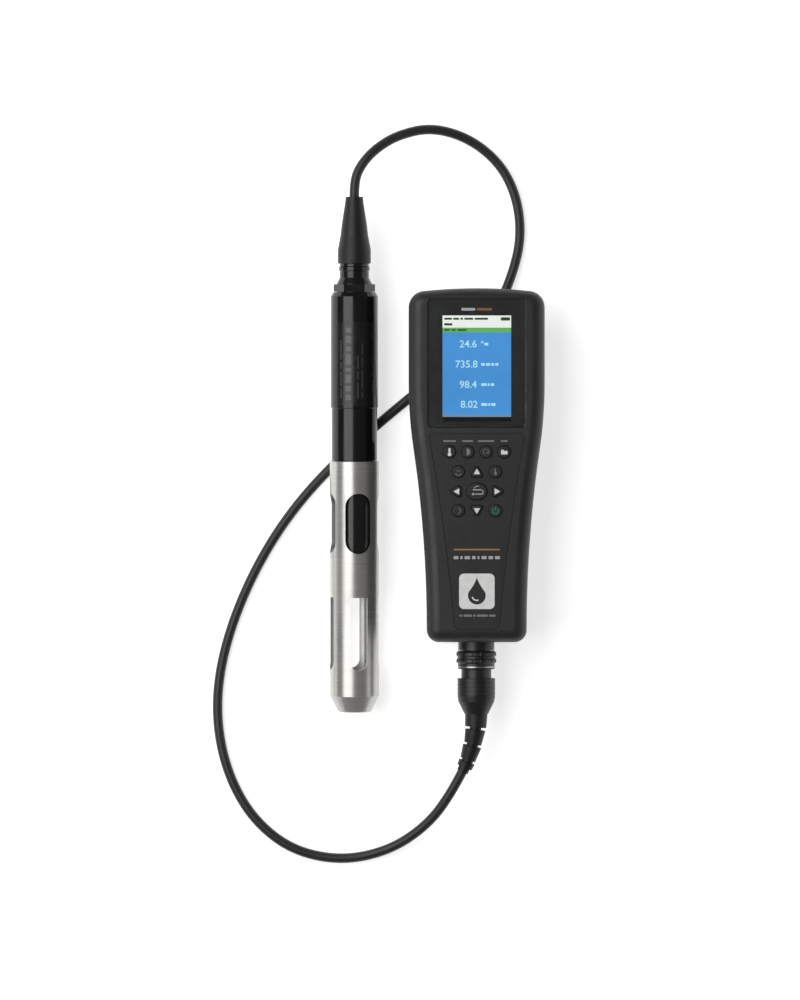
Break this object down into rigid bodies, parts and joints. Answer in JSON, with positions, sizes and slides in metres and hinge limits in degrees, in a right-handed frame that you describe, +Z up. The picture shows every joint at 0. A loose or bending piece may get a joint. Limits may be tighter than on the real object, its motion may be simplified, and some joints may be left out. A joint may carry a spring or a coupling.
{
  "type": "water quality meter",
  "caption": "Handheld water quality meter with display and keypad, cabled to a cylindrical probe whose steel guard surrounds the sensor.",
  "frame": {"origin": "on the table, under the middle of the meter and probe together", "axes": "+Y along the meter and the probe, from the meter's connector end to its display end; +Z up out of the meter's face; +X from the probe to the meter"},
  "size_m": [0.2039, 0.4551, 0.0556],
  "materials": {
    "case_black": "soft matte, moulded",
    "panel_black": "fine texture",
    "lens_glass": "clear, gloss",
    "mask_black": "printed black",
    "screen": "lit display",
    "seal_rubber": "matte",
    "key_rubber": "satin",
    "power_rubber": "satin",
    "dome_steel": "satin",
    "board_green": "solder mask",
    "screw_steel": "machined",
    "buzzer_black": "moulded",
    "cover_black": "moulded",
    "battery_wrap": "shrink wrap",
    "brass_insert": "machined",
    "socket_steel": "plated",
    "flap_rubber": "matte",
    "socket_metal": "black plating",
    "ring_metal": "black plating, worn at the ribs",
    "clip_steel": "bright",
    "insulator_black": "moulded",
    "contact_gold": "gold plated",
    "plug_black": "satin, moulded",
    "boot_rubber": "matte",
    "cable_black": "satin jacket",
    "probe_steel": "turned, brushed round",
    "sensor_black": "gloss",
    "cap_black": "gloss",
    "foil_dark": "gloss film",
    "probe_black": "gloss",
    "label_satin": "satin print",
    "neck_black": "gloss"
  },
  "bodies": {
    "root": {"battery_cover": "cover_black", "battery_cover_screws": "screw_steel", "battery_gasket": "seal_rubber", "battery_pack": "battery_wrap", "board_screws": "screw_steel", "buzzer": "buzzer_black", "cable": "cable_black", "case_gasket": "seal_rubber", "case_screws": "screw_steel", "display_gasket": "seal_rubber", "display_lens": "lens_glass", "front_case": "case_black", "guard_oring": "seal_rubber", "key_domes": "dome_steel", "keypad_mat": "key_rubber", "keypad_panel": "panel_black", "lcd_module": "screen", "lens_mask": "mask_black", "main_board": "board_green", "meter_socket": "socket_metal", "module_oring": "seal_rubber", "neck_oring": "seal_rubber", "plug_boot": "boot_rubber", "plug_contacts": "contact_gold", "plug_insert": "insulator_black", "plug_shell": "plug_black", "probe_board": "board_green", "probe_body": "probe_black", "probe_boot": "boot_rubber", "probe_label": "label_satin", "probe_neck": "neck_black", "rear_case": "case_black", "sensor_module": "sensor_black", "socket_contacts": "contact_gold", "socket_insert": "insulator_black", "socket_nut": "socket_steel", "socket_oring": "seal_rubber", "thermistor_pin": "probe_steel", "tripod_insert": "brass_insert", "usb_socket": "socket_steel"},
    "coupling_ring": {"coupling_ring": "ring_metal", "ring_clip": "clip_steel"},
    "probe_guard": {"probe_guard": "probe_steel"},
    "sensor_cap": {"sensor_cap": "cap_black", "sensing_foil": "foil_dark"},
    "usb_cover": {"usb_cover": "flap_rubber"},
    "key_system": {"key_system": "key_rubber"},
    "key_probe": {"key_probe": "key_rubber"},
    "key_calibration": {"key_calibration": "key_rubber"},
    "key_file": {"key_file": "key_rubber"},
    "key_backlight": {"key_backlight": "key_rubber"},
    "key_up": {"key_up": "key_rubber"},
    "key_help": {"key_help": "key_rubber"},
    "key_left": {"key_left": "key_rubber"},
    "key_enter": {"key_enter": "key_rubber"},
    "key_right": {"key_right": "key_rubber"},
    "key_escape": {"key_escape": "key_rubber"},
    "key_down": {"key_down": "key_rubber"},
    "key_power": {"key_power": "power_rubber"}
  },
  "joints": [
    {"name": "guard_removal", "type": "slide", "parent": "root", "child": "probe_guard", "axis": [0, -0.9992, -0.0401], "range_m": [0, 0.072]},
    {"name": "cap_removal", "type": "slide", "parent": "root", "child": "sensor_cap", "axis": [0, -0.9992, -0.0401], "range_m": [0, 0.015]},
    {"name": "bayonet_turn", "type": "hinge", "parent": "root", "child": "coupling_ring", "pos_m": [0.0242, -0.1053, 0.024], "axis": [0, -1, 0], "range_deg": [0, 110]},
    {"name": "usb_cover_hinge", "type": "hinge", "parent": "root", "child": "usb_cover", "pos_m": [0.0122, 0.12085, 0.02825], "axis": [-1, 0, 0], "range_deg": [0, 95]},
    {"name": "press_system", "type": "slide", "parent": "root", "child": "key_system", "axis": [0, 0, -1], "range_m": [0, 0.0007], "stiffness_N_per_m": 500},
    {"name": "press_probe", "type": "slide", "parent": "root", "child": "key_probe", "axis": [0, 0, -1], "range_m": [0, 0.0007], "stiffness_N_per_m": 500},
    {"name": "press_calibration", "type": "slide", "parent": "root", "child": "key_calibration", "axis": [0, 0, -1], "range_m": [0, 0.0007], "stiffness_N_per_m": 500},
    {"name": "press_file", "type": "slide", "parent": "root", "child": "key_file", "axis": [0, 0, -1], "range_m": [0, 0.0007], "stiffness_N_per_m": 500},
    {"name": "press_backlight", "type": "slide", "parent": "root", "child": "key_backlight", "axis": [0, 0, -1], "range_m": [0, 0.0007], "stiffness_N_per_m": 500},
    {"name": "press_up", "type": "slide", "parent": "root", "child": "key_up", "axis": [0, 0, -1], "range_m": [0, 0.0007], "stiffness_N_per_m": 500},
    {"name": "press_help", "type": "slide", "parent": "root", "child": "key_help", "axis": [0, 0, -1], "range_m": [0, 0.0007], "stiffness_N_per_m": 500},
    {"name": "press_left", "type": "slide", "parent": "root", "child": "key_left", "axis": [0, 0, -1], "range_m": [0, 0.0007], "stiffness_N_per_m": 500},
    {"name": "press_enter", "type": "slide", "parent": "root", "child": "key_enter", "axis": [0, 0, -1], "range_m": [0, 0.0007], "stiffness_N_per_m": 500},
    {"name": "press_right", "type": "slide", "parent": "root", "child": "key_right", "axis": [0, 0, -1], "range_m": [0, 0.0007], "stiffness_N_per_m": 500},
    {"name": "press_escape", "type": "slide", "parent": "root", "child": "key_escape", "axis": [0, 0, -1], "range_m": [0, 0.0007], "stiffness_N_per_m": 500},
    {"name": "press_down", "type": "slide", "parent": "root", "child": "key_down", "axis": [0, 0, -1], "range_m": [0, 0.0007], "stiffness_N_per_m": 500},
    {"name": "press_power", "type": "slide", "parent": "root", "child": "key_power", "axis": [0, 0, -1], "range_m": [0, 0.0007], "stiffness_N_per_m": 500}
  ]
}
